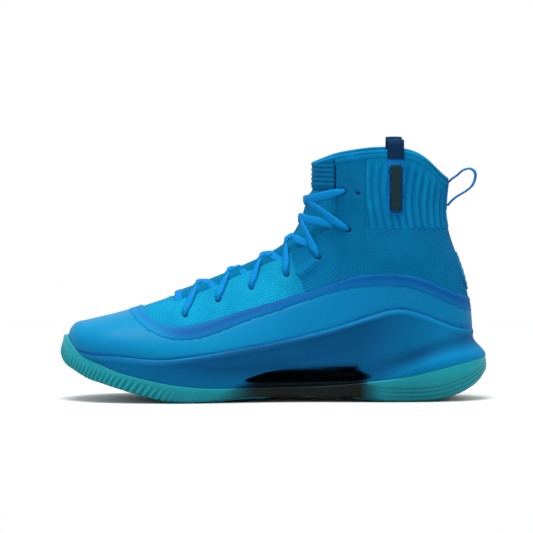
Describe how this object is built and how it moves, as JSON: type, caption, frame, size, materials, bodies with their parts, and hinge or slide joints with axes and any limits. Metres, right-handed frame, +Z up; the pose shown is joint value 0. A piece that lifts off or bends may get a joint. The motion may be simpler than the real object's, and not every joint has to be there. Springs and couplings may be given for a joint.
{
  "type": "basketball high top",
  "caption": "Right basketball high top with a knitted sock-like upper, fused film around the toe and sides, foam midsole, translucent cup outsole, flat lacing and pull loops.",
  "frame": {"origin": "on the floor, under the middle of the shoe's length and width", "axes": "+X towards the toe, +Y towards the inner (medial) side of the foot, +Z up"},
  "size_m": [0.3001, 0.1087, 0.1846],
  "materials": {
    "outsole_rubber": "translucent, satin",
    "midsole_foam": "matt moulded foam",
    "shank_plastic": "satin",
    "board": "matt",
    "sockliner": "brushed fabric over foam",
    "knit_light": "two-tone knit",
    "knit_dark": "fine knit",
    "knit_rib": "ribbed knit",
    "film_gloss": "satin fused film",
    "film_edge": "satin fused film",
    "lining": "brushed knit",
    "stiffener": "matt",
    "padding": "open-cell foam",
    "stay_tape": "matt",
    "lace": "woven flat lace",
    "tape": "woven tape",
    "label": "woven label",
    "badge": "satin"
  },
  "bodies": {
    "shoe": {"outsole_rearfoot": "outsole_rubber", "midsole_rearfoot": "midsole_foam", "shank_plate": "shank_plastic", "strobel_board_rearfoot": "board", "forefoot_knit": "knit_light", "ankle_knit": "knit_dark", "collar_rib_knit": "knit_rib", "collar_top_band": "knit_rib", "front_stretch_panel": "knit_dark", "collar_rim_hem": "knit_rib", "sidewall_film": "film_gloss", "film_edge_band": "film_edge", "vamp_flex_panel": "knit_light", "sock_lining_rearfoot": "lining", "heel_counter": "stiffener", "heel_foam": "padding", "ankle_pad_medial": "padding", "ankle_pad_lateral": "padding", "eyestay_medial": "stay_tape", "eyestay_lateral": "stay_tape", "tongue": "knit_dark", "throat_gusset": "knit_dark", "lace_medial_strand": "lace", "lace_lateral_strand": "lace", "lace_toe_bar": "lace", "heel_loop_anchor": "tape", "medial_tab_tape": "tape", "lateral_tab_tape": "tape", "medial_tab_label": "label", "lateral_tab_label": "label", "heel_badge": "badge"},
    "forefoot": {"outsole_forefoot": "outsole_rubber", "midsole_forefoot": "midsole_foam", "strobel_board_forefoot": "board", "sockliner_forefoot": "sockliner", "toe_base_knit": "knit_light", "toe_film": "film_gloss", "film_edge_band_toe": "film_edge", "sock_lining_forefoot": "lining", "toe_puff": "stiffener"},
    "insole": {"sockliner_rearfoot": "sockliner"},
    "heel_loop": {"heel_pull_loop": "tape"},
    "medial_tab": {"medial_pull_tab": "tape"},
    "lateral_tab": {"lateral_pull_tab": "tape"}
  },
  "joints": [
    {"name": "toe_flex", "type": "hinge", "parent": "shoe", "child": "forefoot", "pos_m": [0.072, 0, 0.031], "axis": [0, -1, 0], "range_deg": [0, 25], "stiffness_Nm_per_rad": 8, "deforming": ["vamp_flex_panel"]},
    {"name": "insole_lift", "type": "hinge", "parent": "shoe", "child": "insole", "pos_m": [0.0717, 0, 0.029], "axis": [0, 1, 0], "range_deg": [0, 8]},
    {"name": "heel_loop_swing", "type": "hinge", "parent": "shoe", "child": "heel_loop", "pos_m": [-0.1245, 0, 0.151], "axis": [0, 1, 0], "range_deg": [-20, 20], "stiffness_Nm_per_rad": 0.01},
    {"name": "medial_tab_swing", "type": "hinge", "parent": "shoe", "child": "medial_tab", "pos_m": [-0.0853, 0.0318, 0.177], "axis": [1, 0, 0], "range_deg": [-30, 30], "stiffness_Nm_per_rad": 0.004},
    {"name": "lateral_tab_swing", "type": "hinge", "parent": "shoe", "child": "lateral_tab", "pos_m": [-0.0853, -0.0318, 0.177], "axis": [1, 0, 0], "range_deg": [-30, 30], "stiffness_Nm_per_rad": 0.004}
  ]
}
